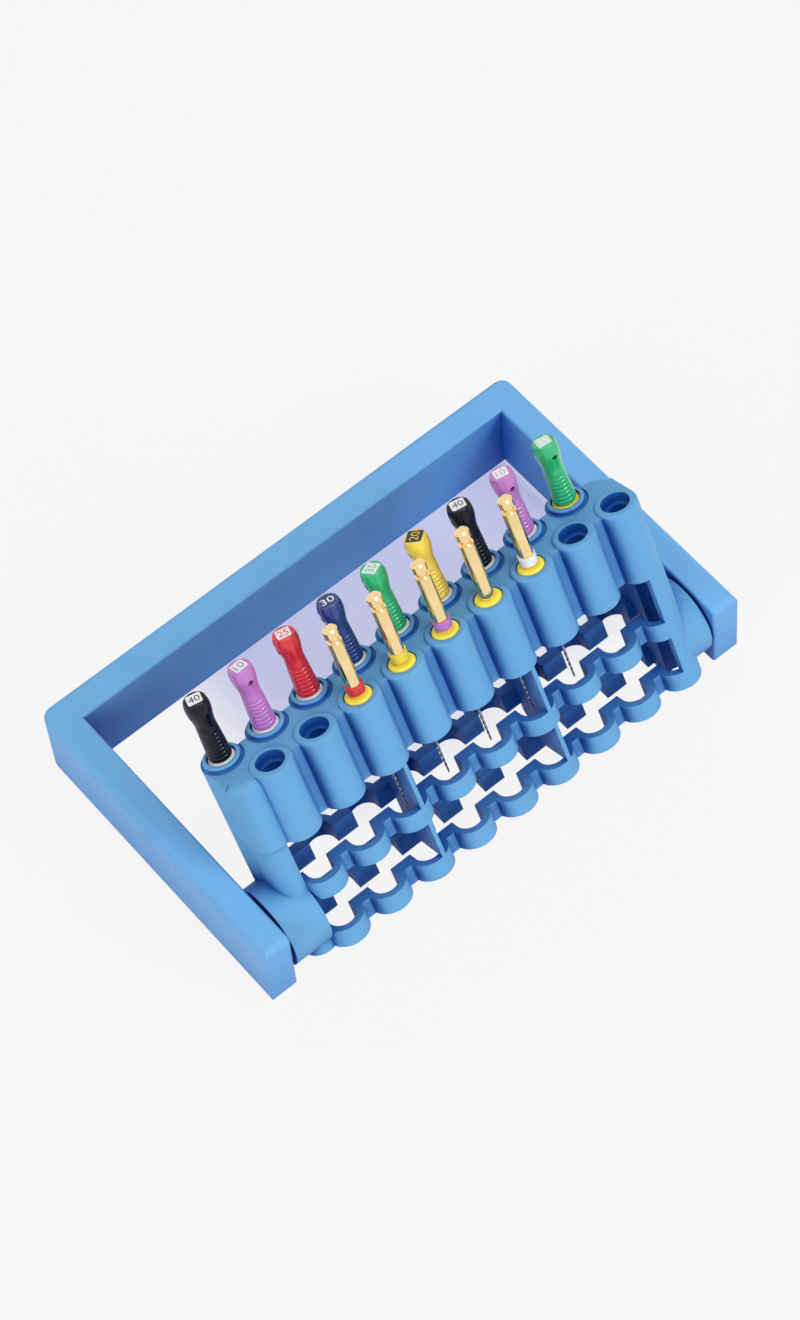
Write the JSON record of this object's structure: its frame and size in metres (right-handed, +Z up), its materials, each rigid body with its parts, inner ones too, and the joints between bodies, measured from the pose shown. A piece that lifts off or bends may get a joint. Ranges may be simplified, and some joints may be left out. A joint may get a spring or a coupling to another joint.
{
  "type": "endodontic file dispenser",
  "caption": "Tilting stand for root canal files: a rack of staggered tubes over an open wavy cage, hinged between the arms of a flat U-shaped frame, with files in it.",
  "frame": {"origin": "middle of the back bar's underside, on the table", "axes": "+X along the rack to its right as seen from the open front, +Y towards the back bar, +Z up"},
  "size_m": [0.092, 0.0574, 0.0476],
  "materials": {
    "plastic": "satin",
    "steel": "ground",
    "nickel_titanium": "ground",
    "gilt": "polished",
    "handle_black": "gloss",
    "handle_violet": "gloss",
    "handle_red": "gloss",
    "handle_navy": "gloss",
    "handle_green": "gloss",
    "handle_yellow": "gloss",
    "stop_white": "satin",
    "stop_yellow": "satin",
    "ring_red": "gloss",
    "ring_yellow": "gloss",
    "ring_violet": "gloss",
    "ring_white": "gloss"
  },
  "bodies": {
    "frame": {"frame": "plastic"},
    "rack": {"rack": "plastic", "hand_file_1_handle": "handle_black", "hand_file_1_blade": "steel", "hand_file_1_stop": "stop_white", "hand_file_2_handle": "handle_violet", "hand_file_2_blade": "steel", "hand_file_2_stop": "stop_white", "hand_file_3_handle": "handle_red", "hand_file_3_blade": "steel", "hand_file_3_stop": "stop_white", "hand_file_4_handle": "handle_navy", "hand_file_4_blade": "steel", "hand_file_4_stop": "stop_white", "hand_file_5_handle": "handle_green", "hand_file_5_blade": "steel", "hand_file_5_stop": "stop_white", "hand_file_6_handle": "handle_yellow", "hand_file_6_blade": "steel", "hand_file_6_stop": "stop_white", "hand_file_7_handle": "handle_black", "hand_file_7_blade": "steel", "hand_file_7_stop": "stop_white", "hand_file_8_handle": "handle_violet", "hand_file_8_blade": "steel", "hand_file_8_stop": "stop_white", "hand_file_9_handle": "handle_green", "hand_file_9_blade": "steel", "hand_file_9_stop": "stop_yellow", "rotary_file_3_shank": "gilt", "rotary_file_3_blade": "nickel_titanium", "rotary_file_3_stop": "stop_yellow", "rotary_file_3_ring": "ring_red", "rotary_file_4_shank": "gilt", "rotary_file_4_blade": "nickel_titanium", "rotary_file_4_stop": "stop_yellow", "rotary_file_4_ring": "ring_yellow", "rotary_file_5_shank": "gilt", "rotary_file_5_blade": "nickel_titanium", "rotary_file_5_stop": "stop_yellow", "rotary_file_5_ring": "ring_violet", "rotary_file_6_shank": "gilt", "rotary_file_6_blade": "nickel_titanium", "rotary_file_6_stop": "stop_yellow", "rotary_file_7_shank": "gilt", "rotary_file_7_blade": "nickel_titanium", "rotary_file_7_stop": "stop_yellow", "rotary_file_7_ring": "ring_white"}
  },
  "joints": [
    {"name": "rack_tilt", "type": "hinge", "parent": "frame", "child": "rack", "pos_m": [0, -0.0456, 0.0071], "axis": [-1, 0, 0], "range_deg": [-23.5, 66.5]}
  ]
}
